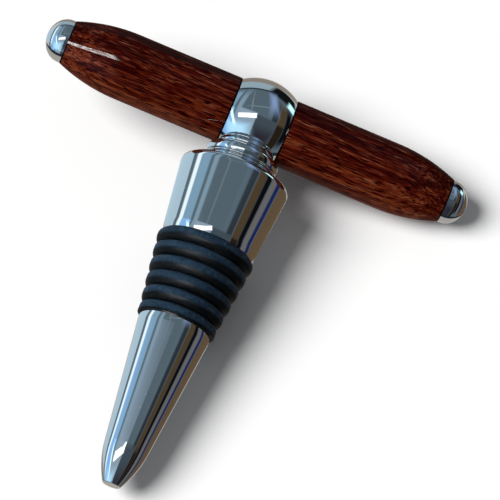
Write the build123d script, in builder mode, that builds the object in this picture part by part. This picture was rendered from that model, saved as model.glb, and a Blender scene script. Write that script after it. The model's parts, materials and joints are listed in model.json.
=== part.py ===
from build123d import *
import os
from math import asin, atan, atan2, cos, degrees, hypot, radians, sin, tan

# Bottle stopper with a T handle. Two turned wood barrels sit on a chromed hub, and under the hub
# a chromed cone carries a ribbed rubber sleeve. The cone is hollow: it screws onto the hub's
# spigot and sheathes a corkscrew worm.
# Millimetres, +Z up. The object lies as it comes to rest, on the cone's shoulder, on the sleeve's
# first rib and on the right barrel's taper. The origin is on the cone's axis, in the middle of
# the sleeve, where the stopper seals a bottle.

# Hub, along the handle
hub_half_width = 6.5
hub_crown = 1.97
hub_edge_step = 0.13
post_length = 9.0
post_chamfer = 0.4

# Wood barrels, with a straight part and a curved taper
barrel_length = 38.0
barrel_straight = 24.0
barrel_radius = 7.5
barrel_end_radius = 4.87
barrel_edge_round = 0.15

# Brass tubes glued into the barrels
tube_radius = 4.0
tube_wall = 0.4
glue_gap = 0.03
press_gap = 0.02

# Dome caps, pressed into the tubes
cap_inset = 0.02
cap_length = 4.7
cap_skirt = 0.5
cap_spigot_length = 6.0
cap_spigot_chamfer = 0.3

# Neck under the hub: a bead, a flange with a round rim, two thin rings set off by grooves, a seat
neck_root = 3.0
neck_radius = 5.75
bead_sink = 2.3
bead_width = 1.6
bead_height = 0.68
bead_gap = 0.1
flange_radius = 8.05
flange_thickness = 2.2
flange_top_round = 1.2
flange_fall = 0.22
groove_width = 0.15
groove_depth = 0.5
ring_count = 2
ring_thickness = 0.6
ring_inset = 0.05
seat_length = 1.18
seat_step = 0.2

# Spigot that the cone screws onto: a plain pilot, then the root of a fine thread
spigot_length = 9.0
pilot_radius = 5.0
pilot_length = 2.0
thread_depth = 0.45
spigot_chamfer = 0.4
mouth_gap = 0.05
mouth_relief = 1.0

# Corkscrew worm, one steel wire
wire_radius = 1.25
worm_radius = 4.1
worm_pitch = 9.0
worm_length = 44.5
worm_lead_in = 5.0
worm_point_turns = 0.55
worm_point_radius = 0.12
worm_point_sections = 8
worm_socket_depth = 11.0

# Stopper cone
stopper_length = 74.25
cone_top_radius = 12.4
shoulder_round = 1.5
nose_length = 8.7
nose_radius = 4.83
nose_curve = 22.5
nose_edge_round = 0.45
sheath_gap = 0.35
sheath_spare = 1.5
drill_point_angle = 118.0

# Rubber sleeve in a recess of the cone, with barbed ribs that stand proud of the cone
sleeve_setback = 17.93
recess_depth = 1.15
recess_roll_length = 1.6
recess_roll_drop = 0.2
sleeve_gap = 0.03
rib_count = 6
rib_pitch = 3.34
rib_land = 1.3
rib_edge_round = 0.65
rib_notch = 0.85
first_rib_height = 0.54
last_rib_height = 0.28
sleeve_top_round = 1.1
last_rib_land = 1.95
last_rib_round = 0.3
last_rib_taper = 0.2

# Handle sizes that follow
hub_radius = barrel_radius + hub_crown
hub_end_radius = barrel_radius - hub_edge_step
tube_bore = tube_radius - tube_wall
post_radius = tube_bore - press_gap
barrel_bore = tube_radius + glue_gap
barrel_end = hub_half_width + barrel_length
cap_radius = barrel_end_radius - cap_inset
taper_place = hub_half_width + barrel_straight
taper_drop = barrel_radius - barrel_end_radius
taper_run = barrel_end - taper_place
taper_curve = (taper_run**2 + taper_drop**2) / (2 * taper_drop)

# Neck and spigot sizes that follow. A place is a distance down the stopper's axis from the hub's
# centre.
bead_place = hub_radius - bead_sink
bead_radius = neck_radius + bead_height
flange_place = bead_place + bead_width / 2 + bead_gap
flange_crown = flange_place + flange_top_round
flange_end = flange_place + flange_thickness
groove_radius = flange_radius - groove_depth
ring_radius = flange_radius - ring_inset
ring_pitch = groove_width + ring_thickness
seat_place = flange_end + ring_count * ring_pitch
seat_radius = groove_radius - seat_step
shoulder_place = seat_place + seat_length
thread_root_radius = pilot_radius - thread_depth
spigot_end = shoulder_place + spigot_length

# Worm and cone sizes that follow
coil_radius = worm_radius - wire_radius
worm_end = spigot_end + worm_length
mouth_radius = pilot_radius + mouth_gap
sheath_radius = worm_radius + sheath_gap
sheath_end = worm_end + sheath_spare
cone_taper = (cone_top_radius - nose_radius) / (stopper_length - nose_length)
cone_slope = atan(cone_taper)
nose_place = shoulder_place + stopper_length - nose_length
nose_turn = degrees(asin(sin(cone_slope) + nose_length / nose_curve) - cone_slope)
sleeve_place = shoulder_place + sleeve_setback
sleeve_end = sleeve_place + (rib_count - 1) * rib_pitch + last_rib_land + last_rib_round
seal_place = (sleeve_place + sleeve_end) / 2


def cone_radius_at(place):
    """Radius of the cone's straight taper at a distance down the axis."""
    return cone_top_radius - cone_taper * (place - shoulder_place)


def rib_radius(rib):
    """Radius of a rib's land, counted from 0 at the handle end."""
    height = first_rib_height + (last_rib_height - first_rib_height) * rib / (rib_count - 1)
    return cone_radius_at(sleeve_place + rib * rib_pitch) + height


def leaning_angle(along, across, reach):
    """Angle at which along * sin + across * cos comes to reach."""
    return asin(reach / hypot(along, across)) - atan2(across, along)


# How it lies. The floor touches the rounding of the shoulder and the curve behind the first rib's
# land, and tilts the axis. Then the whole rolls until the right barrel's taper touches.
corner_place = shoulder_place + shoulder_round
corner_radius = cone_radius_at(corner_place) - shoulder_round / cos(cone_slope)
first_land_end = sleeve_place + rib_land
rib_run = rib_pitch - rib_land
rib_drop = rib_radius(0) - rib_radius(1) + rib_notch
rib_curve = (rib_run**2 + rib_drop**2) / (2 * rib_drop)
tilt = leaning_angle(
    first_land_end - corner_place,
    rib_radius(0) - rib_curve - corner_radius,
    shoulder_round - rib_curve,
)
floor_distance = corner_place * sin(tilt) + corner_radius * cos(tilt) + shoulder_round
dip = leaning_angle(taper_place, barrel_radius - taper_curve, floor_distance - taper_curve)
roll = asin(sin(dip) / cos(tilt))

stopper_axis = Vector(0, -cos(tilt), -sin(tilt))
over_stopper = Vector(0, -sin(tilt), cos(tilt))
handle_axis = Vector(cos(roll), 0, 0) - over_stopper * sin(roll)
hub_centre = stopper_axis * -seal_place
handle_line = Axis(hub_centre, handle_axis)
stopper_line = Axis(hub_centre, stopper_axis)

# Half sections are drawn on these planes: x along the handle and y out from it, or x out from the
# stopper's axis and y down it
hub_section = Plane(origin=hub_centre, x_dir=handle_axis, z_dir=handle_axis.cross(-stopper_axis))
stopper_section = Plane(origin=hub_centre, x_dir=handle_axis, z_dir=handle_axis.cross(stopper_axis))


def down_axis(place):
    """Point on the stopper's axis."""
    return hub_centre + stopper_axis * place


def across_axis(place):
    """Plane square to the stopper's axis, facing the nose."""
    return Plane(origin=down_axis(place), x_dir=handle_axis, z_dir=stopper_axis)


os.makedirs("parts", exist_ok=True)


# Hub, neck and spigot, turned and plated as one
with BuildPart() as hub_coupler:
    with BuildSketch(hub_section):
        with BuildLine():
            crown = ThreePointArc(
                (-hub_half_width, hub_end_radius), (0, hub_radius), (hub_half_width, hub_end_radius)
            )
            Polyline(crown @ 0, (-hub_half_width, 0), (hub_half_width, 0), crown @ 1)
        make_face()
    revolve(axis=handle_line)

    # Neck with its bead against the hub, flange, rings, seat and spigot
    with BuildSketch(stopper_section):
        with BuildLine():
            bead = ThreePointArc(
                (neck_radius, bead_place - bead_width / 2),
                (bead_radius, bead_place),
                (neck_radius, bead_place + bead_width / 2),
            )
            flange_top = Polyline(
                bead @ 1,
                (neck_radius, flange_place),
                (flange_radius - flange_top_round, flange_place),
            )
            flange_rim = TangentArc(flange_top @ 1, (flange_radius, flange_crown), tangent=(1, 0))
            flange_side = TangentArc(
                flange_rim @ 1, (flange_radius - flange_fall, flange_end), tangent=(0, 1)
            )
            groove_side = Line(flange_side @ 1, (groove_radius, flange_end))
            for ring in range(ring_count):
                ring_place = flange_end + groove_width + ring * ring_pitch
                groove = Line(groove_side @ 1, (groove_radius, ring_place))
                groove_side = ThreePointArc(
                    groove @ 1,
                    (ring_radius, ring_place + ring_thickness / 2),
                    (groove_radius, ring_place + ring_thickness),
                )
            Polyline(
                groove_side @ 1,
                (seat_radius, seat_place),
                (seat_radius, shoulder_place),
                (pilot_radius, shoulder_place),
                (pilot_radius, shoulder_place + pilot_length),
                (thread_root_radius, shoulder_place + pilot_length),
                (thread_root_radius, spigot_end),
                (0, spigot_end),
                (0, neck_root),
                (neck_radius, neck_root),
                bead @ 0,
            )
        make_face()
    revolve(axis=stopper_line)
    spigot_rim = hub_coupler.edges().filter_by(GeomType.CIRCLE).sort_by(stopper_line)[-1]
    chamfer(spigot_rim, spigot_chamfer)

    # Socket for the worm's shank
    with BuildSketch(across_axis(spigot_end)):
        Circle(wire_radius + press_gap)
    extrude(amount=-worm_socket_depth, mode=Mode.SUBTRACT)

    # Posts that carry the tubes
    for outward in (-handle_axis, handle_axis):
        with BuildSketch(Plane(origin=hub_centre + outward * hub_half_width, z_dir=outward)):
            Circle(post_radius)
        extrude(amount=post_length)
        post_line = Axis(hub_centre, outward)
        post_rim = hub_coupler.edges().filter_by(GeomType.CIRCLE).sort_by(post_line)[-1]
        chamfer(post_rim, post_chamfer)

hub_coupler.part.label = "hub_coupler"
export_step(hub_coupler.part, "parts/hub_coupler.step")


# Worm: a straight shank in the spigot's socket, a lead that swings out to the coil, a right-hand
# coil, and a last half turn that thins to the point
coil_place = spigot_end + worm_lead_in
coil_height = worm_end - coil_place
worm_coil = Edge.make_helix(worm_pitch, coil_height, coil_radius, down_axis(coil_place), stopper_axis)
point_share = worm_point_turns * worm_pitch / coil_height

with BuildPart() as corkscrew_worm:
    with BuildLine():
        shank = Line(down_axis(spigot_end - worm_socket_depth), down_axis(spigot_end))
        Spline(shank @ 1, worm_coil @ 0, tangents=(shank % 1, worm_coil % 0))
        add(worm_coil.trim(0, 1 - point_share))
    with BuildSketch(across_axis(spigot_end - worm_socket_depth)):
        Circle(wire_radius)
    sweep()

    for section in range(worm_point_sections + 1):
        done = section / worm_point_sections
        along = 1 - point_share + point_share * done
        with BuildSketch(Plane(origin=worm_coil @ along, z_dir=worm_coil % along)):
            Circle(wire_radius + (worm_point_radius - wire_radius) * done)
    loft()

corkscrew_worm.part.label = "corkscrew_worm"
export_step(corkscrew_worm.part, "parts/corkscrew_worm.step")


# Cone, turned and plated: solid of revolution, recess for the sleeve, threaded mouth and sheath
with BuildPart() as stopper_cone:
    with BuildSketch(stopper_section):
        with BuildLine():
            taper = Line((cone_top_radius, shoulder_place), (nose_radius, nose_place))
            nose = JernArc(taper @ 1, taper % 1, radius=nose_curve, arc_size=nose_turn)
            Polyline(nose @ 1, (0, (nose @ 1).Y), (0, shoulder_place), taper @ 0)
        make_face()
    revolve(axis=stopper_line)
    rims = stopper_cone.edges().filter_by(GeomType.CIRCLE).sort_by(stopper_line)
    fillet(rims[0], shoulder_round)
    fillet(rims[-1], nose_edge_round)

    with BuildSketch(stopper_section):
        with BuildLine():
            recess_top = cone_radius_at(sleeve_place)
            recess_end = cone_radius_at(sleeve_end)
            roll_place = sleeve_place - recess_roll_length
            roll_end = sleeve_end + recess_roll_length
            top_roll = TangentArc(
                (cone_radius_at(roll_place), roll_place),
                (recess_top - recess_roll_drop, sleeve_place),
                tangent=(-cone_taper, 1),
            )
            end_roll = TangentArc(
                (cone_radius_at(roll_end), roll_end),
                (recess_end - recess_roll_drop, sleeve_end),
                tangent=(cone_taper, -1),
            )
            Polyline(
                top_roll @ 1,
                (recess_top - recess_depth, sleeve_place),
                (recess_end - recess_depth, sleeve_end),
                end_roll @ 1,
            )
            Polyline(
                end_roll @ 0,
                (cone_top_radius, roll_end),
                (cone_top_radius, roll_place),
                top_roll @ 0,
            )
        make_face()
    revolve(axis=stopper_line, mode=Mode.SUBTRACT)

    with BuildSketch(stopper_section):
        with BuildLine():
            mouth_end = spigot_end + mouth_relief
            drill_point = sheath_radius / tan(radians(drill_point_angle / 2))
            Polyline(
                (0, shoulder_place),
                (mouth_radius, shoulder_place),
                (mouth_radius, mouth_end),
                (sheath_radius, mouth_end),
                (sheath_radius, sheath_end),
                (0, sheath_end + drill_point),
                close=True,
            )
        make_face()
    revolve(axis=stopper_line, mode=Mode.SUBTRACT)

stopper_cone.part.label = "stopper_cone"
export_step(stopper_cone.part, "parts/stopper_cone.step")


# Sleeve: each rib stands up steeply on the handle's side and curves in towards the nose, so that
# it slides into a bottle and grips on the way out
with BuildPart() as sealing_sleeve:
    with BuildSketch(stopper_section):
        with BuildLine():
            bore_top = cone_radius_at(sleeve_place) - recess_depth + sleeve_gap
            bore_end = cone_radius_at(sleeve_end) - recess_depth + sleeve_gap
            top = sleeve_place + sleeve_gap
            end = sleeve_end - sleeve_gap
            first_corner = FilletPolyline(
                (bore_top, top),
                (rib_radius(0), top),
                (rib_radius(0), first_land_end),
                radius=sleeve_top_round,
            )
            rib_side = first_corner @ 1
            for rib in range(1, rib_count):
                notch = sleeve_place + rib * rib_pitch
                land_length = rib_land if rib < rib_count - 1 else last_rib_land
                flank = TangentArc(rib_side, (rib_radius(rib) - rib_notch, notch), tangent=(0, 1))
                lip = FilletPolyline(
                    flank @ 1,
                    (rib_radius(rib), notch),
                    (rib_radius(rib), notch + land_length),
                    radius=rib_edge_round,
                )
                rib_side = lip @ 1
            tail = FilletPolyline(
                rib_side,
                (rib_side.X - last_rib_taper, end),
                (bore_end, end),
                radius=last_rib_round,
            )
            Line(tail @ 1, first_corner @ 0)
        make_face()
    revolve(axis=stopper_line)

sealing_sleeve.part.label = "sealing_sleeve"
export_step(sealing_sleeve.part, "parts/sealing_sleeve.step")


# The handle's two halves
for side, outward in (("left", -handle_axis), ("right", handle_axis)):
    half_section = Plane(origin=hub_centre, x_dir=outward, z_dir=outward.cross(-stopper_axis))
    half_line = Axis(hub_centre, outward)

    # Wood barrel, bored for its tube
    with BuildPart() as barrel:
        with BuildSketch(half_section):
            with BuildLine():
                Polyline(
                    (barrel_end, barrel_end_radius),
                    (barrel_end, barrel_bore),
                    (hub_half_width, barrel_bore),
                    (hub_half_width, barrel_radius),
                    (taper_place, barrel_radius),
                )
                TangentArc(
                    (taper_place, barrel_radius), (barrel_end, barrel_end_radius), tangent=(1, 0)
                )
            make_face()
        revolve(axis=half_line)
        end_rims = barrel.edges().filter_by(GeomType.CIRCLE).group_by(half_line)
        fillet(end_rims[0].sort_by(SortBy.RADIUS)[-1], barrel_edge_round)
        fillet(end_rims[-1].sort_by(SortBy.RADIUS)[-1], barrel_edge_round)
    barrel.part.label = f"{side}_barrel"
    export_step(barrel.part, f"parts/{side}_barrel.step")

    # Brass tube, trimmed flush with the wood
    with BuildPart() as tube:
        with BuildSketch(Plane(origin=hub_centre + outward * hub_half_width, z_dir=outward)):
            Circle(tube_radius)
            Circle(tube_bore, mode=Mode.SUBTRACT)
        extrude(amount=barrel_length)
    tube.part.label = f"{side}_tube"
    export_step(tube.part, f"parts/{side}_tube.step")

    # Dome cap with a spigot pressed into the tube
    with BuildPart() as end_cap:
        with BuildSketch(half_section):
            with BuildLine():
                dome = EllipticalCenterArc(
                    center=(barrel_end + cap_skirt, 0),
                    x_radius=cap_length - cap_skirt,
                    y_radius=cap_radius,
                    start_angle=0,
                    arc_size=90,
                )
                spigot_tip = barrel_end - cap_spigot_length
                Polyline(
                    dome @ 1,
                    (barrel_end, cap_radius),
                    (barrel_end, post_radius),
                    (spigot_tip, post_radius),
                    (spigot_tip, 0),
                    dome @ 0,
                )
            make_face()
        revolve(axis=half_line)
        spigot_rim = end_cap.edges().filter_by(GeomType.CIRCLE).sort_by(half_line)[0]
        chamfer(spigot_rim, cap_spigot_chamfer)
    end_cap.part.label = f"{side}_end_cap"
    export_step(end_cap.part, f"parts/{side}_end_cap.step")
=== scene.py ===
import json
from math import cos, pi, radians, sin

import bpy
from bpy.props import FloatProperty, FloatVectorProperty, IntProperty, PointerProperty
from mathutils import Matrix, Vector


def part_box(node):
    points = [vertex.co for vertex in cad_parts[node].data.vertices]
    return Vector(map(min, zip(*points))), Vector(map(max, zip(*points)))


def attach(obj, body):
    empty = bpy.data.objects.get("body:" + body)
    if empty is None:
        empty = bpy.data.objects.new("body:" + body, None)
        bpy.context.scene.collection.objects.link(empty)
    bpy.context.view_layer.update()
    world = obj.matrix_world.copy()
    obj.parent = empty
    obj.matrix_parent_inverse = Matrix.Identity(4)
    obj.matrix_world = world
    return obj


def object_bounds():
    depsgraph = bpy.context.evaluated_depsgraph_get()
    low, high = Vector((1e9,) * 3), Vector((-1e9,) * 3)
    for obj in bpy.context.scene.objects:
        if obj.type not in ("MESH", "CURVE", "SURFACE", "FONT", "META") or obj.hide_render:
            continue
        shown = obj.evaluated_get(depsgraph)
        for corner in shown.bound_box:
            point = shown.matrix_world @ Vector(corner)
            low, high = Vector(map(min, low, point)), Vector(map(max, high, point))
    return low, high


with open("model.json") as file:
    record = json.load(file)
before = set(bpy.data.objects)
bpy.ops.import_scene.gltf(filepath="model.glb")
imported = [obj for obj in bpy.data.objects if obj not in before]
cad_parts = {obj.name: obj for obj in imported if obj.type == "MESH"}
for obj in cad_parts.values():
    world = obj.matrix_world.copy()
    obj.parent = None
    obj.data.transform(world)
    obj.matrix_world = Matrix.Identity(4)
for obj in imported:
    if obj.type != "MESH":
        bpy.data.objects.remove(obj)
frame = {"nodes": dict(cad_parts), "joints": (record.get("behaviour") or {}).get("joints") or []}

bl_info = {
    "name": "Bottle stopper with a corkscrew handle",
    "version": (1, 0, 0),
    "blender": (4, 5, 0),
    "location": "View3D > Sidebar > Stopper",
    "description": "Finishes, threads and studio for a chromed bottle stopper with a wood T handle",
    "category": "Add Mesh",
}

MM = 0.001


# Where the stopper lies


def far_vertex(node, away_from):
    """The vertex of a node that is farthest from a point, such as a dome's pole."""
    return max((v.co for v in frame["nodes"][node].data.vertices), key=lambda co: (co - away_from).length)


def reach(node, origin, axis):
    """Lowest and highest distance of a node's vertices along an axis."""
    along = [(v.co - origin).dot(axis) for v in frame["nodes"][node].data.vertices]
    return min(along), max(along)


# The handle runs between the two caps' poles and the nose points along the slide's axis
cad_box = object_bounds()
right_middle = (Vector(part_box("right_end_cap")[0]) + Vector(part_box("right_end_cap")[1])) / 2
left_pole = far_vertex("left_end_cap", right_middle)
right_pole = far_vertex("right_end_cap", left_pole)
HUB_CENTRE = (left_pole + right_pole) / 2
RIGHTWARDS = (right_pole - left_pole).normalized()
NOSEWARDS = -Vector(frame["joints"][0]["axis"]).normalized()
SKYWARDS = RIGHTWARDS.cross(-NOSEWARDS)

# The spigot's and the mouth's ends, as distances from the hub's centre towards the nose
SHOULDER = reach("stopper_cone", HUB_CENTRE, NOSEWARDS)[0]
SPIGOT_END = reach("hub_coupler", HUB_CENTRE, NOSEWARDS)[1]


def axes_matrix(x, y, z, origin=(0, 0, 0)):
    """A matrix that carries an upright model onto the given axes."""
    turn = Matrix((x, y, z)).transposed().to_4x4()
    return Matrix.Translation(origin) @ turn


HANDLE_FRAME = axes_matrix(RIGHTWARDS, -NOSEWARDS, SKYWARDS, HUB_CENTRE)
NOSE_FRAME = axes_matrix(RIGHTWARDS, SKYWARDS, NOSEWARDS, HUB_CENTRE)


# Shader nodes

# Noise textures give mostly values between these two
NOISE_LOW, NOISE_HIGH = 0.3, 0.7


def linear(colour):
    """A hex colour as linear red, green, blue and alpha."""
    parts = [int(colour[i : i + 2], 16) / 255 for i in (1, 3, 5)]
    return [c / 12.92 if c < 0.04045 else ((c + 0.055) / 1.055) ** 2.4 for c in parts] + [1.0]


def colour_property(name, description, colour):
    """A colour that a user can change, whose default is a hex colour."""
    return FloatVectorProperty(
        name=name, description=description, default=linear(colour), size=4, min=0, max=1, subtype="COLOR",
    )


def add_node(tree, kind, values=None, links=None, **settings):
    """Adds a shader node with its settings, input values and input links."""
    node = tree.nodes.new("ShaderNode" + kind)
    for name, value in settings.items():
        setattr(node, name, value)
    for name, value in (values or {}).items():
        node.inputs[name].default_value = value
    for name, source in (links or {}).items():
        tree.links.new(source, node.inputs[name])
    return node


def set_ramp(node, stops):
    """Gives a colour ramp its stops, as pairs of place and linear colour."""
    elements = node.color_ramp.elements
    while len(elements) > 1:
        elements.remove(elements[-1])
    for i, (place, colour) in enumerate(stops):
        element = elements[0] if i == 0 else elements.new(place)
        element.position = place
        element.color = colour
    return node


def new_material(name, values):
    """A material with a Principled shader, whose constants are set on its own sockets."""
    material = bpy.data.materials.new(name)
    material.use_nodes = True
    tree = material.node_tree
    shader = tree.nodes["Principled BSDF"]
    for socket, value in values.items():
        shader.inputs[socket].default_value = value
    return material, tree, shader


def handle_place(tree):
    """Object coordinates measured from the hub's centre, with x along the handle and z up."""
    place = add_node(tree, "TexCoord")
    turned = add_node(tree, "Mapping", links={"Vector": place.outputs["Object"]}, vector_type="TEXTURE")
    turned.inputs["Location"].default_value = HANDLE_FRAME.to_translation()
    turned.inputs["Rotation"].default_value = HANDLE_FRAME.to_euler()
    return turned.outputs["Vector"]


def dress(node, material):
    """Gives a CAD node its finish."""
    piece = frame["nodes"][node]
    piece.data.materials.clear()
    piece.data.materials.append(material)


# Chrome: bright chromium plate over buffed metal. The eye gets a clear mirror of the room, whose
# edges waver over the buffing ripples, with a few dull specks.


class ChromeLook(bpy.types.PropertyGroup):
    colour: colour_property("Colour", "The plate's own colour", "#dcdfe1")
    roughness: FloatProperty(
        name="Roughness", description="Blur of the plate's reflections", default=0.03, min=0, max=1,
        subtype="FACTOR",
    )
    ripple_size: FloatProperty(
        name="Ripple size", description="Length of the buffing ripples", default=9 * MM, unit="LENGTH",
    )
    ripple_depth: FloatProperty(
        name="Ripple depth", description="Height of the buffing ripples", default=0.004 * MM, unit="LENGTH",
    )
    speck_size: FloatProperty(
        name="Speck size", description="Distance between dull specks", default=2.5 * MM, unit="LENGTH",
    )


def bright_chrome(look):
    """Bright chromium plate over buffed metal."""
    material, tree, shader = new_material(
        "bright_chrome_plate", {"Metallic": 1.0, "Base Color": look.colour}
    )
    place = handle_place(tree)

    smears = add_node(
        tree, "TexNoise", {"Scale": 1 / look.ripple_size, "Detail": 3.0, "Roughness": 0.55}, {"Vector": place}
    )
    hazy = 2.2 * look.roughness
    haze = add_node(
        tree, "MapRange", {"From Min": 0.35, "From Max": 0.75, "To Min": look.roughness, "To Max": hazy},
        {"Value": smears.outputs["Fac"]},
    )
    specks = add_node(
        tree, "TexVoronoi", {"Scale": 1 / look.speck_size, "Randomness": 1.0}, {"Vector": place}
    )
    speck_roughness = 0.25
    dull = add_node(
        tree, "MapRange",
        {"From Min": 0.03, "From Max": 0.06, "To Min": speck_roughness, "To Max": 0.0},
        {"Value": specks.outputs["Distance"]},
    )
    rough = add_node(
        tree, "Math", links={0: haze.outputs["Result"], 1: dull.outputs["Result"]}, operation="ADD"
    )
    tree.links.new(rough.outputs["Value"], shader.inputs["Roughness"])

    ripples = add_node(
        tree, "TexNoise", {"Scale": 1 / look.ripple_size, "Detail": 1.0}, {"Vector": place}
    )
    bump = add_node(
        tree, "Bump", {"Strength": 1.0, "Distance": look.ripple_depth}, {"Height": ripples.outputs["Fac"]}
    )
    tree.links.new(bump.outputs["Normal"], shader.inputs["Normal"])
    return material


class STOPPER_OT_chrome(bpy.types.Operator):
    """Plate the hub, the caps and the cone"""

    bl_idname = "stopper.chrome"
    bl_label = "Chrome plate"

    def execute(self, context):
        plate = bright_chrome(context.scene.stopper_chrome)
        for node in ("hub_coupler", "left_end_cap", "right_end_cap", "stopper_cone"):
            dress(node, plate)
        return {"FINISHED"}


# Wood: dark red hardwood, turned, stained and dipped in gloss lacquer. The eye gets short pale
# streaks gathered in long bands, fine dark pores, and the lacquer only as the lamp's flash.


class WoodLook(bpy.types.PropertyGroup):
    darkest_grain: colour_property("Darkest grain", "Colour of the darkest grain", "#1c0000")
    dark_grain: colour_property("Dark grain", "Colour of the dark grain", "#300502")
    middle_grain: colour_property("Middle grain", "Colour of most of the wood", "#430e05")
    pale_grain: colour_property("Pale grain", "Colour of the pale grain", "#571e0c")
    palest_grain: colour_property("Palest grain", "Colour of the palest grain", "#6c3118")
    streak_colour: colour_property("Streak colour", "Colour of the pale streaks", "#7a4a38")
    pore_colour: colour_property("Pore colour", "Colour of the open pores", "#1f0100")
    # Painted shade: the colour of the shade painted at the barrel's ends, in the gap beside the hub and the
    # cap
    end_shade_colour: colour_property("Joint colour", "Colour of the shade painted in the gap at the ends", "#0a0302")
    band_length: FloatProperty(
        name="Band length", description="Length of a dark or pale band of grain", default=32 * MM,
        unit="LENGTH",
    )
    band_width: FloatProperty(
        name="Band width", description="Width of a dark or pale band of grain", default=1.3 * MM,
        unit="LENGTH",
    )
    fibre_length: FloatProperty(
        name="Fibre length", description="Length of a fibre along the grain", default=5.0 * MM,
        unit="LENGTH",
    )
    fibre_width: FloatProperty(
        name="Fibre width", description="Width of a fibre", default=0.3 * MM, unit="LENGTH",
    )
    streak_length: FloatProperty(
        name="Streak length", description="Length of a pale streak", default=4.2 * MM, unit="LENGTH",
    )
    streak_width: FloatProperty(
        name="Streak width", description="Width of a pale streak", default=0.30 * MM, unit="LENGTH",
    )
    pore_depth: FloatProperty(
        name="Pore depth", description="Depth of the open pores", default=0.02 * MM, unit="LENGTH",
    )
    grain_slope: FloatProperty(
        name="Grain slope", description="Angle between the grain and the handle", default=radians(1.5),
        subtype="ANGLE",
    )
    board_roll: FloatProperty(
        name="Board roll", description="Turn of the board's grain about the handle", default=0.4,
        subtype="ANGLE",
    )
    # Painted light: how much paler the wood is painted for each millimetre towards the nose's side
    painted_light_share: FloatProperty(
        name="Painted light share", description="Paling of the wood for each millimetre towards the nose's side",
        default=0.012, min=0, max=1, subtype="FACTOR",
    )
    # Painted shade: the length of barrel painted dark at each end
    end_shade_width: FloatProperty(
        name="Joint width", description="Length of barrel darkened by shade painted in the gap at each end",
        default=0.45 * MM, unit="LENGTH",
    )
    lacquer_weight: FloatProperty(
        name="Lacquer", description="Share of the lacquer's gloss", default=0.14, min=0, max=1,
        subtype="FACTOR",
    )
    lacquer_roughness: FloatProperty(
        name="Lacquer roughness", description="Blur of the lacquer's gloss", default=0.06, min=0, max=1,
        subtype="FACTOR",
    )
    wave_size: FloatProperty(
        name="Wave size", description="Length of the waves in the lacquer", default=6 * MM, unit="LENGTH",
    )
    wave_depth: FloatProperty(
        name="Wave depth", description="Height of the waves in the lacquer", default=0.003 * MM,
        unit="LENGTH",
    )


def grain_noise(tree, place, length, width, detail):
    """Noise drawn out along the handle, for marks of one length and width."""
    cells = add_node(
        tree, "VectorMath", {1: (1 / length, 1 / width, 1 / width)}, {0: place}, operation="MULTIPLY"
    )
    return add_node(
        tree, "TexNoise", {"Scale": 1.0, "Detail": detail, "Roughness": 0.6},
        {"Vector": cells.outputs["Vector"]},
    ).outputs["Fac"]


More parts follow.
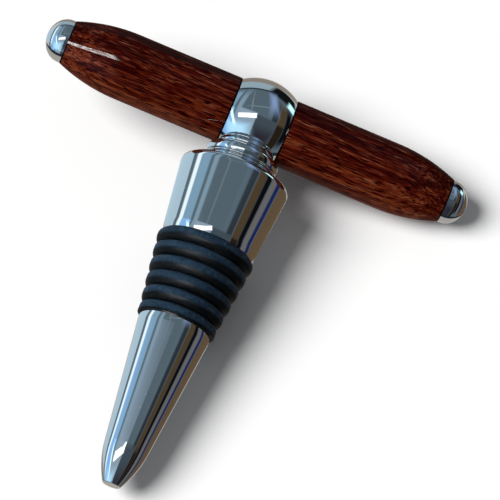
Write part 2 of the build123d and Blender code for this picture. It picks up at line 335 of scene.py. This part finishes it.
def red_hardwood(look, side):
    """Dark red hardwood, turned, stained and dipped in gloss lacquer."""
    # The lacquer carries all the gloss, and the wood under it has none
    material, tree, shader = new_material(
        "lacquered_red_hardwood_" + side,
        {"Roughness": 0.5, "Specular IOR Level": 0.0, "Coat Weight": look.lacquer_weight,
         "Coat Roughness": look.lacquer_roughness},
    )
    # The two halves are cut from different places of one board
    offset = {"left": 0.0, "right": 0.21}[side]
    along_handle = handle_place(tree)
    sloped = add_node(tree, "Mapping", links={"Vector": along_handle})
    sloped.inputs["Rotation"].default_value = (look.board_roll, look.grain_slope, look.grain_slope)
    sloped.inputs["Location"].default_value = (offset, 0.5 * offset, 0)
    place = sloped.outputs["Vector"]

    # Bands drift slowly along the handle, and fibres fill them
    bands = grain_noise(tree, place, look.band_length, look.band_width, 2.0)
    fibres = grain_noise(tree, place, look.fibre_length, look.fibre_width, 2.0)
    tone = add_node(tree, "Mix", {"Factor": 0.42}, {"A": bands, "B": fibres}, data_type="FLOAT")

    # Painted light and sheen: the side towards the nose is painted paler, standing in for the light and the
    # lacquer's sheen from the bright floor below it
    parts = add_node(tree, "SeparateXYZ", links={"Vector": along_handle})
    tone_with_painted_light = add_node(
        tree, "Math", {1: -look.painted_light_share / MM}, {0: parts.outputs["Y"], 2: tone.outputs["Result"]},
        operation="MULTIPLY_ADD",
    )
    grain_with_painted_light = set_ramp(
        add_node(tree, "ValToRGB", links={"Fac": tone_with_painted_light.outputs["Value"]}),
        [(0.38, look.darkest_grain), (0.45, look.dark_grain), (0.51, look.middle_grain),
         (0.57, look.pale_grain), (0.65, look.palest_grain)],
    ).outputs["Color"]

    # Pale streaks gather in the pale bands
    streaks = add_node(
        tree, "MapRange", {"From Min": 0.56, "From Max": 0.68},
        {"Value": grain_noise(tree, place, look.streak_length, look.streak_width, 1.0)},
        interpolation_type="SMOOTHSTEP",
    )
    gathered = add_node(
        tree, "MapRange", {"From Min": 0.42, "From Max": 0.62, "To Min": 0.1, "To Max": 1.0},
        {"Value": bands},
    )
    strength = add_node(
        tree, "Math", links={0: streaks.outputs["Result"], 1: gathered.outputs["Result"]},
        operation="MULTIPLY",
    )
    streaked = add_node(
        tree, "Mix", {"B": look.streak_colour}, {"Factor": strength.outputs["Value"], "A": grain_with_painted_light},
        data_type="RGBA",
    )

    pores = add_node(
        tree, "MapRange", {"From Min": 0.57, "From Max": 0.66},
        {"Value": grain_noise(tree, place, look.streak_length * 0.7, look.streak_width * 0.8, 0.0)},
        interpolation_type="SMOOTHSTEP",
    )
    pored = add_node(
        tree, "Mix", {"B": look.pore_colour},
        {"Factor": pores.outputs["Result"], "A": streaked.outputs["Result"]}, data_type="RGBA",
    )

    # Painted shade: the barrel is painted near black at its ends beside the hub and the cap, standing in for
    # the shade in the gap there
    ends = reach(side + "_barrel", HUB_CENTRE, RIGHTWARDS)
    middle, half = (ends[0] + ends[1]) / 2, (ends[1] - ends[0]) / 2
    from_middle = add_node(tree, "Math", {1: middle}, {0: parts.outputs["X"]}, operation="SUBTRACT")
    far = add_node(tree, "Math", links={0: from_middle.outputs["Value"]}, operation="ABSOLUTE")
    joint = add_node(
        tree, "MapRange", {"From Min": half - look.end_shade_width, "From Max": half - 0.5 * look.end_shade_width},
        {"Value": far.outputs["Value"]}, interpolation_type="SMOOTHSTEP",
    )
    wood_with_end_shade = add_node(
        tree, "Mix", {"B": look.end_shade_colour},
        {"Factor": joint.outputs["Result"], "A": pored.outputs["Result"]}, data_type="RGBA",
    )
    tree.links.new(wood_with_end_shade.outputs["Result"], shader.inputs["Base Color"])

    sunk = add_node(
        tree, "Bump", {"Strength": 0.25, "Distance": look.pore_depth}, {"Height": pores.outputs["Result"]},
        invert=True,
    )
    tree.links.new(sunk.outputs["Normal"], shader.inputs["Normal"])
    waves = add_node(
        tree, "TexNoise", {"Scale": 1 / look.wave_size, "Detail": 1.0}, {"Vector": place}
    )
    lacquer = add_node(
        tree, "Bump", {"Strength": 1.0, "Distance": look.wave_depth}, {"Height": waves.outputs["Fac"]}
    )
    tree.links.new(lacquer.outputs["Normal"], shader.inputs["Coat Normal"])
    return material


class STOPPER_OT_wood(bpy.types.Operator):
    """Give the two handle halves their wood and lacquer"""

    bl_idname = "stopper.wood"
    bl_label = "Lacquered wood"

    def execute(self, context):
        for side in ("left", "right"):
            dress(side + "_barrel", red_hardwood(context.scene.stopper_wood, side))
        return {"FINISHED"}


# Rubber: black rubber, compression moulded. The eye gets almost no gloss, a dry bluish bloom on
# the lands, and black flanks under them whose black is painted shade. The skin's pits are really
# finer, and are drawn as coarse as they need to be to show.


class RubberLook(bpy.types.PropertyGroup):
    thin_bloom: colour_property("Thin bloom", "Colour of the skin under thin bloom", "#121d27")
    even_bloom: colour_property("Even bloom", "Colour of most of the skin", "#1b2c3b")
    thick_bloom: colour_property("Thick bloom", "Colour of the skin under thick bloom", "#2f4251")
    # Painted shade: the ribs' flanks are painted in this near black as their shade
    painted_flank_shade: colour_property("Flank colour", "Colour of the ribs' flanks", "#040506")
    bloom_size: FloatProperty(
        name="Bloom size", description="Distance between patches of bloom", default=0.9 * MM,
        unit="LENGTH",
    )
    roughness: FloatProperty(
        name="Roughness", description="Blur of the rubber's sheen", default=0.5, min=0, max=1,
        subtype="FACTOR",
    )
    pit_size: FloatProperty(
        name="Pit size", description="Distance between pits in the moulded skin", default=0.35 * MM,
        unit="LENGTH",
    )
    pit_depth: FloatProperty(
        name="Pit depth", description="Depth of the pits", default=0.025 * MM, unit="LENGTH",
    )
    rib_pitch: FloatProperty(
        name="Rib pitch", description="Distance between the ribs, whose lands hold the bloom",
        default=3.34 * MM, unit="LENGTH",
    )


def moulded_rubber(look):
    """Black rubber, compression moulded, with bloom on its skin and painted shade on its ribs' flanks."""
    material, tree, shader = new_material("moulded_black_rubber", {"Specular IOR Level": 0.06})
    place = handle_place(tree)
    bloom = add_node(
        tree, "TexNoise", {"Scale": 1 / look.bloom_size, "Detail": 3.0, "Roughness": 0.65}, {"Vector": place}
    )
    skin = set_ramp(
        add_node(tree, "ValToRGB", links={"Fac": bloom.outputs["Fac"]}),
        [(0.32, look.thin_bloom), (0.5, look.even_bloom), (0.7, look.thick_bloom)],
    )

    # Painted shade: the flanks under the lands are painted near black, and the bloom shows only on the lands
    first_land = reach("sealing_sleeve", HUB_CENTRE, NOSEWARDS)[0]
    parts = add_node(tree, "SeparateXYZ", links={"Vector": place})
    from_first = add_node(
        tree, "Math", {0: -1.0, 2: -first_land}, {1: parts.outputs["Y"]}, operation="MULTIPLY_ADD"
    )
    turns = add_node(
        tree, "Math", {1: look.rib_pitch}, {0: from_first.outputs["Value"]}, operation="DIVIDE"
    )
    phase = add_node(tree, "Math", links={0: turns.outputs["Value"]}, operation="FRACT")
    flank_shaded, land_unshaded = linear("#000000"), linear("#ffffff")
    unshaded_land_mask = set_ramp(
        add_node(tree, "ValToRGB", links={"Fac": phase.outputs["Value"]}),
        [(0.0, flank_shaded), (0.1, land_unshaded), (0.42, land_unshaded), (0.6, flank_shaded), (1.0, flank_shaded)],
    )
    skin_with_painted_shade = add_node(
        tree, "Mix", {"A": look.painted_flank_shade},
        {"Factor": unshaded_land_mask.outputs["Color"], "B": skin.outputs["Color"]}, data_type="RGBA",
    )
    tree.links.new(skin_with_painted_shade.outputs["Result"], shader.inputs["Base Color"])
    rough = add_node(
        tree, "MapRange",
        {"From Min": NOISE_LOW, "From Max": NOISE_HIGH, "To Min": look.roughness * 0.85,
         "To Max": look.roughness * 1.25},
        {"Value": bloom.outputs["Fac"]},
    )
    tree.links.new(rough.outputs["Result"], shader.inputs["Roughness"])
    pits = add_node(
        tree, "TexNoise", {"Scale": 1 / look.pit_size, "Detail": 2.0, "Roughness": 0.6}, {"Vector": place}
    )
    bump = add_node(
        tree, "Bump", {"Strength": 0.6, "Distance": look.pit_depth}, {"Height": pits.outputs["Fac"]}
    )
    tree.links.new(bump.outputs["Normal"], shader.inputs["Normal"])
    return material


class STOPPER_OT_rubber(bpy.types.Operator):
    """Give the ribbed sleeve its moulded rubber"""

    bl_idname = "stopper.rubber"
    bl_label = "Rubber sleeve"

    def execute(self, context):
        dress("sealing_sleeve", moulded_rubber(context.scene.stopper_rubber))
        return {"FINISHED"}


# Inner metal: nickel-plated spring steel for the worm and drawn brass for the tubes. The eye gets a
# warm grey and a yellow metal, both satin, with soft lines along the handle. The real lines are
# finer, and are drawn as coarse as they need to be to show.


class InnerMetalLook(bpy.types.PropertyGroup):
    steel_colour: colour_property("Steel colour", "Colour of the worm's plated steel", "#b4b2ac")
    steel_roughness: FloatProperty(
        name="Steel roughness", description="Blur of the worm's reflections", default=0.2, min=0, max=1,
        subtype="FACTOR",
    )
    steel_line: FloatProperty(
        name="Steel line", description="Width of a line on the worm", default=0.2 * MM, unit="LENGTH",
    )
    brass_colour: colour_property("Brass colour", "Colour of the tubes' brass", "#c9a25a")
    brass_roughness: FloatProperty(
        name="Brass roughness", description="Blur of the tubes' reflections", default=0.3, min=0, max=1,
        subtype="FACTOR",
    )
    brass_line: FloatProperty(
        name="Brass line", description="Width of a line on the tubes", default=0.15 * MM, unit="LENGTH",
    )
    line_length: FloatProperty(
        name="Line length", description="Length of the lines", default=12 * MM, unit="LENGTH",
    )
    line_depth: FloatProperty(
        name="Line depth", description="Depth of the lines", default=0.004 * MM, unit="LENGTH",
    )


def drawn_metal(look, name, colour, roughness, line_width):
    """Metal drawn through a die, with fine lines along the handle."""
    material, tree, shader = new_material(name, {"Metallic": 1.0, "Base Color": colour})
    lines = grain_noise(tree, handle_place(tree), look.line_length, line_width, 2.0)
    rough = add_node(
        tree, "MapRange",
        {"From Min": NOISE_LOW, "From Max": NOISE_HIGH, "To Min": roughness * 0.7,
         "To Max": roughness * 1.4},
        {"Value": lines},
    )
    tree.links.new(rough.outputs["Result"], shader.inputs["Roughness"])
    bump = add_node(tree, "Bump", {"Strength": 0.3, "Distance": look.line_depth}, {"Height": lines})
    tree.links.new(bump.outputs["Normal"], shader.inputs["Normal"])
    return material


class STOPPER_OT_inner_metal(bpy.types.Operator):
    """Give the worm its plated steel and the tubes their brass"""

    bl_idname = "stopper.inner_metal"
    bl_label = "Worm and tubes"

    def execute(self, context):
        look = context.scene.stopper_inner_metal
        steel = drawn_metal(
            look, "nickel_plated_spring_steel", look.steel_colour, look.steel_roughness, look.steel_line
        )
        dress("corkscrew_worm", steel)
        brass = drawn_metal(
            look, "drawn_brass_tube", look.brass_colour, look.brass_roughness, look.brass_line
        )
        for node in ("left_tube", "right_tube"):
            dress(node, brass)
        return {"FINISHED"}


# Threads: a fine thread holds the cone on the spigot

# A ridge's foot lies this deep in its wall, the mouth stands this far from the spigot's crest, and
# the solid spigot has this chamfer at its end
FOOT_DEPTH = 0.03 * MM
THREAD_GAP = 0.07 * MM
SPIGOT_CHAMFER = 0.4 * MM

# Points closer than this are one place
TOUCHING = 0.001 * MM


class ThreadSizes(bpy.types.PropertyGroup):
    pitch: FloatProperty(name="Pitch", description="Rise of one turn", default=0.75 * MM, unit="LENGTH")
    spigot_root: FloatProperty(
        name="Spigot root", description="Radius at the bottom of the spigot's thread", default=4.55 * MM,
        unit="LENGTH",
    )
    spigot_crest: FloatProperty(
        name="Spigot crest", description="Radius at the top of the spigot's thread", default=4.98 * MM,
        unit="LENGTH",
    )
    pilot: FloatProperty(
        name="Pilot", description="Length of the plain pilot before the thread", default=2.0 * MM,
        unit="LENGTH",
    )
    steps: IntProperty(name="Steps", description="Facets in one turn", default=72, min=12)


def thread_ridge(name, sizes, foot, crest, start, length):
    """A right-hand helical ridge about the z axis, from its foot radius to its crest radius."""
    foot_width, crest_width = 0.9 * sizes.pitch, 0.16 * sizes.pitch
    bpy.ops.object.select_all(action="DESELECT")
    bpy.ops.mesh.primitive_plane_add(size=1, rotation=(pi / 2, 0, 0))
    ridge = bpy.context.object
    ridge.name = name
    ridge.scale = (abs(crest - foot), foot_width, 1)
    ridge.location = ((crest + foot) / 2, 0, start + foot_width / 2)
    bpy.ops.object.transform_apply(location=True, rotation=True, scale=True)
    section_middle = Vector((crest, 0, start + foot_width / 2))
    bpy.ops.object.mode_set(mode="EDIT")
    bpy.ops.mesh.select_all(action="DESELECT")
    bpy.ops.object.mode_set(mode="OBJECT")
    for vertex in ridge.data.vertices:
        vertex.select = abs(vertex.co.x - crest) < abs(vertex.co.x - foot)
    bpy.ops.object.mode_set(mode="EDIT")
    bpy.ops.transform.resize(value=(1, 1, crest_width / foot_width), center_override=section_middle)
    bpy.ops.object.mode_set(mode="OBJECT")
    screw = ridge.modifiers.new("Screw", "SCREW")
    screw.axis = "Z"
    screw.angle = 2 * pi
    screw.screw_offset = sizes.pitch
    screw.iterations = int((length - foot_width) / sizes.pitch)
    screw.steps = screw.render_steps = sizes.steps
    screw.use_merge_vertices = False
    bpy.ops.object.modifier_apply(modifier=screw.name)
    tidy_normals(ridge)
    return ridge


def tidy_normals(piece):
    """Merges doubles and turns every face outwards."""
    bpy.ops.object.mode_set(mode="EDIT")
    bpy.ops.mesh.select_all(action="SELECT")
    bpy.ops.mesh.remove_doubles(threshold=TOUCHING)
    bpy.ops.mesh.normals_make_consistent(inside=False)
    bpy.ops.object.mode_set(mode="OBJECT")


def cut(piece, cutter, operation):
    """Cuts a piece with a closed mesh, which is then removed."""
    boolean = piece.modifiers.new("Cut", "BOOLEAN")
    boolean.operation = operation
    boolean.solver = "EXACT"
    boolean.object = cutter
    bpy.ops.object.select_all(action="DESELECT")
    piece.select_set(True)
    bpy.context.view_layer.objects.active = piece
    bpy.ops.object.modifier_apply(modifier=boolean.name)
    bpy.data.objects.remove(cutter)


def chamfered_rod(radius, start, end, start_drop, end_drop, steps):
    """A round rod along z, whose two rims are cut back by 45 degree chamfers."""
    bpy.ops.object.select_all(action="DESELECT")
    bpy.ops.mesh.primitive_cylinder_add(
        vertices=steps, radius=radius, depth=end - start, location=(0, 0, (start + end) / 2)
    )
    rod = bpy.context.object
    bpy.ops.object.transform_apply(location=True)
    for height, drop in ((start, start_drop), (end, end_drop)):
        for edge in rod.data.edges:
            edge.select = all(abs(rod.data.vertices[v].co.z - height) < TOUCHING for v in edge.vertices)
        for vertex in rod.data.vertices:
            vertex.select = abs(vertex.co.z - height) < TOUCHING
        for face in rod.data.polygons:
            face.select = False
        bpy.ops.object.mode_set(mode="EDIT")
        bpy.ops.mesh.select_mode(type="EDGE")
        bpy.ops.mesh.bevel(offset=drop, offset_type="OFFSET", segments=1)
        bpy.ops.mesh.select_all(action="DESELECT")
        bpy.ops.object.mode_set(mode="OBJECT")
    return rod


def finish_thread(ridge, material):
    """Puts a thread on the stopper's axis, smooth between its edges."""
    ridge.matrix_world = NOSE_FRAME
    bpy.ops.object.select_all(action="DESELECT")
    ridge.select_set(True)
    bpy.context.view_layer.objects.active = ridge
    bpy.ops.object.transform_apply(location=True, rotation=True, scale=True)
    bpy.ops.object.shade_smooth_by_angle(angle=radians(30))
    ridge.data.materials.append(material)


class STOPPER_OT_threads(bpy.types.Operator):
    """Cut the fine thread on the spigot and in the cone's mouth"""

    bl_idname = "stopper.threads"
    bl_label = "Threads"

    def execute(self, context):
        sizes = context.scene.stopper_threads
        plate = bpy.data.materials["bright_chrome_plate"]
        start = SHOULDER + sizes.pilot
        depth = sizes.spigot_crest - sizes.spigot_root

        male = thread_ridge(
            "spigot_thread", sizes, sizes.spigot_root - FOOT_DEPTH, sizes.spigot_crest, start,
            SPIGOT_END - start,
        )
        tip_chamfer = SPIGOT_CHAMFER + depth
        cut(male, chamfered_rod(sizes.spigot_crest, start, SPIGOT_END, depth, tip_chamfer, 96), "INTERSECT")
        finish_thread(male, plate)
        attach(male, "handle")

        mouth = sizes.spigot_crest + THREAD_GAP
        female = thread_ridge(
            "mouth_thread", sizes, mouth + FOOT_DEPTH, mouth - depth, start + sizes.pitch / 2,
            SPIGOT_END - start,
        )
        finish_thread(female, plate)
        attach(female, "stopper")
        return {"FINISHED"}


# Studio: a white floor, soft daylight from the left, and a room that only polished faces show


class StudioSettings(bpy.types.PropertyGroup):
    lens: FloatProperty(name="Lens", description="Focal length on a 36 mm sensor", default=246.2)
    distance: FloatProperty(
        name="Distance", description="From the camera to the point it looks at", default=0.734,
        unit="LENGTH",
    )
    lean: FloatProperty(
        name="Lean", description="The view's lean from square to the cone's axis towards its nose",
        default=radians(18.0), subtype="ANGLE",
    )
    yaw: FloatProperty(
        name="Yaw", description="The view's turn towards the left end of the handle",
        default=radians(3.03), subtype="ANGLE",
    )
    turn: FloatProperty(
        name="Turn", description="The handle's slope in the picture", default=radians(22.67),
        subtype="ANGLE",
    )
    aim_right: FloatProperty(
        name="Aim right", description="From the hub's centre along the handle to the picture's middle",
        default=8.85 * MM, unit="LENGTH",
    )
    aim_down: FloatProperty(
        name="Aim down", description="From the hub's centre towards the nose to the picture's middle",
        default=27.67 * MM, unit="LENGTH",
    )
    floor_size: FloatProperty(name="Floor", description="Side of the floor", default=6.0, unit="LENGTH")
    floor_colour: colour_property("Floor colour", "Colour of the paper on the floor", "#fbfbfa")
    key_lean: FloatProperty(
        name="Key lean", description="The daylight's lean to the left from straight above",
        default=radians(40), subtype="ANGLE",
    )
    key_turn: FloatProperty(
        name="Key turn", description="The daylight's turn from the left towards the nose",
        default=radians(20), subtype="ANGLE",
    )
    key_strength: FloatProperty(name="Key", description="Strength of the daylight", default=3.65)
    key_width: FloatProperty(
        name="Key width", description="Angle that the daylight fills", default=radians(36),
        subtype="ANGLE",
    )
    fill: FloatVectorProperty(
        name="Fill", description="Light from the whole room on dull faces", size=3, subtype="COLOR",
        default=(0.167, 0.17, 0.177),
    )


def view_axes(settings):
    """The view's own right, up and back, before the picture is turned."""
    leaning = SKYWARDS * cos(settings.lean) + NOSEWARDS * sin(settings.lean)
    back = leaning * cos(settings.yaw) - RIGHTWARDS * sin(settings.yaw)
    up = (back.cross(RIGHTWARDS)).normalized()
    return up.cross(back), up, back


def ray_patch(tree, picture, centre, half, turn, soft):
    """A soft-edged rectangle in the room's picture plane, 1 inside and 0 outside."""
    turned = add_node(tree, "Mapping", links={"Vector": picture}, vector_type="TEXTURE")
    turned.inputs["Location"].default_value = (*centre, 0)
    turned.inputs["Rotation"].default_value = (0, 0, turn)
    turned.inputs["Scale"].default_value = (*half, 1)
    size = add_node(
        tree, "VectorMath", links={0: turned.outputs["Vector"]}, operation="ABSOLUTE"
    )
    sides = add_node(tree, "SeparateXYZ", links={"Vector": size.outputs["Vector"]})
    far = add_node(
        tree, "Math", links={0: sides.outputs["X"], 1: sides.outputs["Y"]}, operation="MAXIMUM"
    )
    return add_node(
        tree, "MapRange", {"From Min": 1 + soft, "From Max": 1 - soft}, {"Value": far.outputs["Value"]},
        interpolation_type="SMOOTHSTEP",
    ).outputs["Result"]


# The room as a mirror under the camera shows it, on the picture plane of room_world. Its uprights
# stand side by side, from the plane's left to its right: left side, right side, softness, colour
# and strength
ROOM_UPRIGHTS = [
    ("sheer curtain", -9.0, -1.34, 0.004, "#a9c0ce", 1.0),
    ("curtain rail", -1.34, -1.16, 0.5, "#56666f", 1.0),
    ("window pane", -1.11, -0.91, 0.5, "#e2f0f6", 1.1),
    ("window reveal", -0.89, -0.60, 0.25, "#7c9cb2", 1.0),
    ("ceiling in daylight", -0.52, -0.41, 0.6, "#7e96a6", 1.0),
    ("shaded ceiling edge", 0.27, 0.41, 0.4, "#2a3136", 1.0),
    ("oak door", 0.43, 0.64, 0.3, "#4a3c2a", 1.0),
    ("open doorway", 0.64, 0.82, 0.4, "#0c0b0e", 1.0),
    ("door jamb", 0.86, 1.07, 0.5, "#66615e", 1.0),
    ("night blue curtain", 1.10, 1.34, 0.35, "#1b2450", 1.0),
]

# Its other features: centre, half size, turn in degrees, softness, colour and strength
ROOM_FEATURES = [
    ("cupboard", (31.2, -3.3), (30.0, 1.4), -6.6, 0.002, "#5c4b39", 1.0),
    ("far wall", (-0.62, 1.55), (0.85, 0.55), 14, 0.06, "#8fa3ad", 1.0),
    ("far wall's edge", (-0.35, 1.0), (0.62, 0.04), 14, 0.5, "#1f262a", 1.0),
    ("dark passage", (0.62, 1.42), (0.55, 0.5), -12, 0.2, "#101214", 1.0),
    ("table beyond the handle", (0.0, 3.6), (9.0, 1.7), 8, 0.12, "#857a70", 1.0),
    ("daylight on the ceiling", (0.21, 0.68), (0.09, 0.28), 14, 0.9, "#8196bc", 1.0),
    ("blue pane", (-0.74, -0.44), (0.17, 0.56), 0, 0.06, "#84b4e4", 1.0),
    ("pale ceiling bay", (-0.24, -0.33), (0.205, 0.5), 0, 0.06, "#8a9cac", 1.0),
    ("shaded ceiling bay", (0.19, -0.36), (0.22, 0.5), 0, 0.06, "#3f4a52", 1.0),
    ("dark door frame", (0.53, -0.4), (0.1, 0.5), 0, 0.1, "#241c15", 1.0),
    ("ceiling joint", (-0.25, 0.48), (0.012, 0.26), 14, 0.9, "#76868d", 1.0),
    ("ceiling joint across", (0.0, 0.37), (0.24, 0.012), 20, 0.9, "#76868d", 1.0),
    ("shade beside the door", (0.2, -0.5), (0.18, 0.34), 0, 0.6, "#2b2832", 1.0),
    ("dark bench edge", (0.0, -0.95), (3.0, 0.14), 0, 0.3, "#1d2429", 1.0),
    ("bench in front", (0.0, -3.2), (9.0, 2.1), 0, 0.04, "#a09b95", 1.0),
    ("skylight", (-0.38, -0.42), (0.27, 0.19), 12, 0.6, "#a4cfea", 1.3),
    ("blind in daylight", (-0.55, -0.12), (0.04, 0.2), 32, 0.5, "#d4f2f8", 1.3),
    ("window behind", (0.84, 0.93), (0.165, 0.175), -20, 0.4, "#c4f6fa", 1.25),
    ("lamp panel", (-0.225, 0.035), (0.17, 0.046), 21, 0.2, "#fffdfb", 90.0),
]

# Middle and half of the uprights' height on the plane
UPRIGHTS_MIDDLE = 0.1
UPRIGHTS_HALF_HEIGHT = 0.6

# Share of the room's light that the plate gives back, so that a colour above shows as it is
CHROME_SHARE = 0.74

# Behind all of them lies the ceiling, and far out on the plane the paper under the object, which
# starts at the first distance from the plane's middle and is whole at the second
CEILING_COLOUR, PAPER_COLOUR = "#53626b", "#b4b8ba"
PAPER_START, PAPER_WHOLE = 1.5, 1.9

# A mirrored lamp is cut to just above white, so that its edge stays smooth
BRIGHTEST_SAMPLE = 1.25


def room_world(settings):
    """Plain light for dull faces, white behind the object, and the room for polished faces."""
    world = bpy.data.worlds.new("studio_room")
    bpy.context.scene.world = world
    world.use_nodes = True
    tree = world.node_tree
    tree.nodes.clear()
    # The room isn't sampled as a lamp, because dull faces see only the plain light
    world.cycles.sampling_method = "NONE"

    # A ray's direction on the picture plane: 0 towards the camera's side, 1 square to it. The last
    # digit of the sum keeps a ray straight away from the camera's side finite.
    right, up, back = view_axes(settings)
    ray = add_node(tree, "TexCoord")
    turned = add_node(tree, "Mapping", links={"Vector": ray.outputs["Generated"]}, vector_type="TEXTURE")
    turned.inputs["Rotation"].default_value = axes_matrix(right, up, back).to_euler()
    parts = add_node(tree, "SeparateXYZ", links={"Vector": turned.outputs["Vector"]})
    nearness = add_node(tree, "Math", {1: 1.0001}, {0: parts.outputs["Z"]}, operation="ADD")
    spread = add_node(tree, "Math", {0: 1.0}, {1: nearness.outputs["Value"]}, operation="DIVIDE")
    picture = add_node(
        tree, "VectorMath", links={0: turned.outputs["Vector"], "Scale": spread.outputs["Value"]},
        operation="SCALE",
    )
    ceiling = add_node(tree, "RGB").outputs["Color"]
    ceiling.default_value = linear(CEILING_COLOUR)
    distance = add_node(tree, "VectorMath", links={0: picture.outputs["Vector"]}, operation="LENGTH")
    paper = add_node(
        tree, "MapRange", {"From Min": PAPER_START, "From Max": PAPER_WHOLE},
        {"Value": distance.outputs["Value"]}, interpolation_type="SMOOTHSTEP",
    )
    room = add_node(
        tree, "Mix", {"B": linear(PAPER_COLOUR)}, {"Factor": paper.outputs["Result"], "A": ceiling},
        data_type="RGBA",
    ).outputs["Result"]
    uprights = [
        (name, ((start + end) / 2, UPRIGHTS_MIDDLE), ((end - start) / 2, UPRIGHTS_HALF_HEIGHT), 0, *rest)
        for name, start, end, *rest in ROOM_UPRIGHTS
    ]
    for name, centre, half, turn, soft, colour, strength in uprights + ROOM_FEATURES:
        patch = ray_patch(tree, picture.outputs["Vector"], centre, half, radians(turn), soft)
        light = [strength * c for c in linear(colour)[:3]] + [1.0]
        room = add_node(
            tree, "Mix", {"B": light}, {"Factor": patch, "A": room}, data_type="RGBA", label=name
        ).outputs["Result"]
    seen = add_node(tree, "Background", {"Strength": 1 / CHROME_SHARE}, {"Color": room})

    # The room shows by a mirror ray that hasn't left a dull face
    path = add_node(tree, "LightPath")
    straight = add_node(tree, "Math", {1: 0.5}, {0: path.outputs["Diffuse Depth"]}, operation="LESS_THAN")
    polished = add_node(
        tree, "Math", links={0: path.outputs["Is Glossy Ray"], 1: straight.outputs["Value"]},
        operation="MULTIPLY",
    )
    white = add_node(tree, "Background", {"Color": (1, 1, 1, 1), "Strength": 1.0})
    fill = add_node(tree, "Background", {"Color": (*settings.fill, 1), "Strength": 1.0})
    dull = add_node(
        tree, "MixShader", links={0: path.outputs["Is Camera Ray"], 1: fill.outputs[0], 2: white.outputs[0]}
    )
    both = add_node(
        tree, "MixShader", links={0: polished.outputs["Value"], 1: dull.outputs[0], 2: seen.outputs[0]}
    )
    add_node(tree, "OutputWorld", links={"Surface": both.outputs[0]})


def white_floor(settings, height):
    """Matt white paper, without gloss, that holds the object's shadow."""
    bpy.ops.object.select_all(action="DESELECT")
    bpy.ops.mesh.primitive_plane_add(size=settings.floor_size, location=(0, 0, height))
    floor = bpy.context.object
    floor.name = "studio_floor"
    bpy.ops.object.transform_apply(location=True)
    paper = {"Base Color": settings.floor_colour, "Roughness": 0.9, "Specular IOR Level": 0.0}
    floor.data.materials.append(new_material("matt_white_paper", paper)[0])
    floor.visible_glossy = False


def daylight(settings):
    """Soft daylight from the left, which gives dull faces their light and the floor its shadow."""
    light = bpy.data.lights.new("daylight", "SUN")
    light.energy = settings.key_strength
    light.angle = settings.key_width
    lamp = bpy.data.objects.new("daylight", light)
    bpy.context.scene.collection.objects.link(lamp)
    level = Vector((-cos(settings.key_turn), -sin(settings.key_turn), 0))
    towards = level * sin(settings.key_lean) + Vector((0, 0, cos(settings.key_lean)))
    lamp.rotation_mode = "QUATERNION"
    lamp.rotation_quaternion = towards.to_track_quat("Z", "Y")
    lamp.location = towards
    lamp.visible_glossy = False


def camera(settings):
    """The photograph's view: from above the nose, with the handle sloping down to the right."""
    right, up, back = view_axes(settings)
    tilted_right = right * cos(settings.turn) + up * sin(settings.turn)
    tilted_up = up * cos(settings.turn) - right * sin(settings.turn)
    aim = HUB_CENTRE + RIGHTWARDS * settings.aim_right + NOSEWARDS * settings.aim_down
    data = bpy.data.cameras.new("camera")
    data.lens = settings.lens
    data.clip_start, data.clip_end = 0.05, 20
    eye = bpy.data.objects.new("camera", data)
    bpy.context.scene.collection.objects.link(eye)
    eye.matrix_world = axes_matrix(tilted_right, tilted_up, back, aim + back * settings.distance)
    bpy.context.scene.camera = eye


class STOPPER_OT_studio(bpy.types.Operator):
    """Set the floor, the light, the room and the camera"""

    bl_idname = "stopper.studio"
    bl_label = "Studio"

    def execute(self, context):
        settings = context.scene.stopper_studio
        context.scene.view_settings.view_transform = "Standard"
        context.scene.cycles.sample_clamp_direct = BRIGHTEST_SAMPLE
        context.scene.cycles.sample_clamp_indirect = BRIGHTEST_SAMPLE
        room_world(settings)
        white_floor(settings, cad_box[0].z)
        daylight(settings)
        camera(settings)
        return {"FINISHED"}


class VIEW3D_PT_stopper(bpy.types.Panel):
    """Sizes, finishes and studio of the bottle stopper"""

    bl_label = "Bottle stopper"
    bl_idname = "VIEW3D_PT_stopper"
    bl_space_type = "VIEW_3D"
    bl_region_type = "UI"
    bl_category = "Stopper"

    def draw(self, context):
        for group in SETTINGS:
            box = self.layout.box()
            settings = getattr(context.scene, group)
            for name in settings.bl_rna.properties.keys():
                if name not in ("rna_type", "name"):
                    box.prop(settings, name)
        for operator in OPERATORS:
            self.layout.operator(operator.bl_idname)


SETTINGS = {
    "stopper_chrome": ChromeLook,
    "stopper_wood": WoodLook,
    "stopper_rubber": RubberLook,
    "stopper_inner_metal": InnerMetalLook,
    "stopper_threads": ThreadSizes,
    "stopper_studio": StudioSettings,
}
OPERATORS = (
    STOPPER_OT_chrome,
    STOPPER_OT_wood,
    STOPPER_OT_rubber,
    STOPPER_OT_inner_metal,
    STOPPER_OT_threads,
    STOPPER_OT_studio,
)


def register():
    """Registers the settings, the operators and the panel."""
    for cls in (*SETTINGS.values(), *OPERATORS, VIEW3D_PT_stopper):
        bpy.utils.register_class(cls)
    for name, group in SETTINGS.items():
        setattr(bpy.types.Scene, name, PointerProperty(type=group))


def unregister():
    """Takes the settings, the operators and the panel away."""
    for name in SETTINGS:
        delattr(bpy.types.Scene, name)
    for cls in (VIEW3D_PT_stopper, *reversed(OPERATORS), *reversed(SETTINGS.values())):
        bpy.utils.unregister_class(cls)


def main():
    """Finishes the stopper, piece by piece, and sets the studio round it."""
    register()
    bpy.ops.stopper.chrome()
    bpy.ops.stopper.wood()
    bpy.ops.stopper.rubber()
    bpy.ops.stopper.inner_metal()
    bpy.ops.stopper.threads()
    bpy.ops.stopper.studio()


if __name__ == "__main__":
    main()
